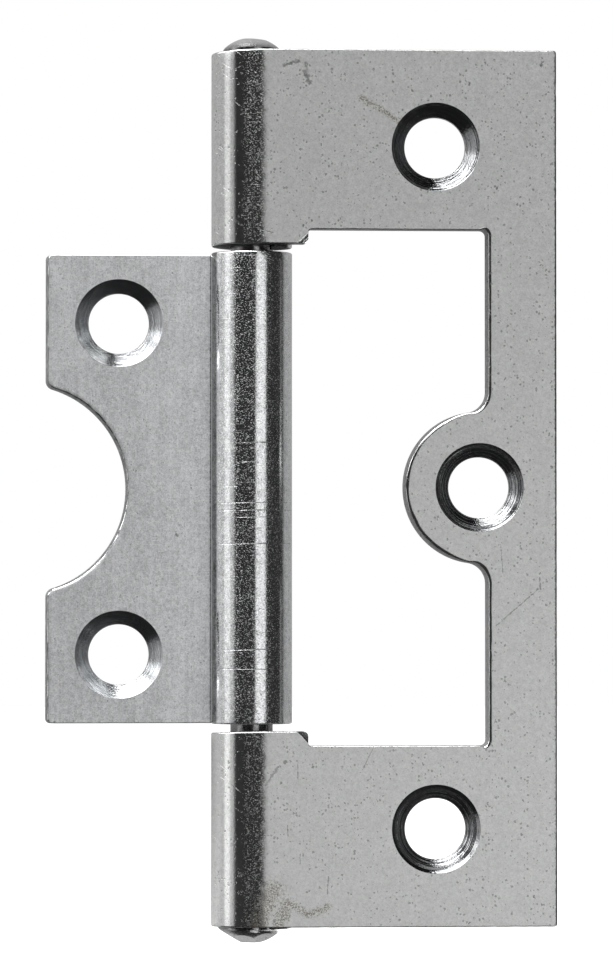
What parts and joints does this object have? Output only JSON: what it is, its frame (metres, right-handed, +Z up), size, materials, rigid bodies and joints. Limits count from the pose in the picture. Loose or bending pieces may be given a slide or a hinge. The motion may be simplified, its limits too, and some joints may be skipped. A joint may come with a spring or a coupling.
{
  "type": "louvre door hinge",
  "caption": "Flush hinge of pressed steel: a small leaf with a half-round notch turns on a headed pin and folds into the window of the large leaf, round its screw tab.",
  "frame": {"origin": "on the back face of the frame leaf, midway between its two outer screw holes", "axes": "+Z up along the pin, +X towards the free edge of the frame leaf, -Y out of the countersunk side"},
  "size_m": [0.0442, 0.0074, 0.0787],
  "materials": {
    "frame_leaf_zinc": "bright zinc plate over pressed steel, barrel tumbled, with fine scratches and pits",
    "door_leaf_zinc": "bright zinc plate over pressed steel, with a faint upright grain",
    "pin_steel": "bright zinc plated wire, one formed and one hammered end"
  },
  "bodies": {
    "frame_leaf": {"frame_leaf": "frame_leaf_zinc", "hinge_pin": "pin_steel"},
    "door_leaf": {"door_leaf": "door_leaf_zinc"}
  },
  "joints": [
    {"name": "leaf_swing", "type": "hinge", "parent": "frame_leaf", "child": "door_leaf", "pos_m": [-0.0158, 0.00211, 0], "axis": [0, 0, 1], "continuous": true}
  ]
}
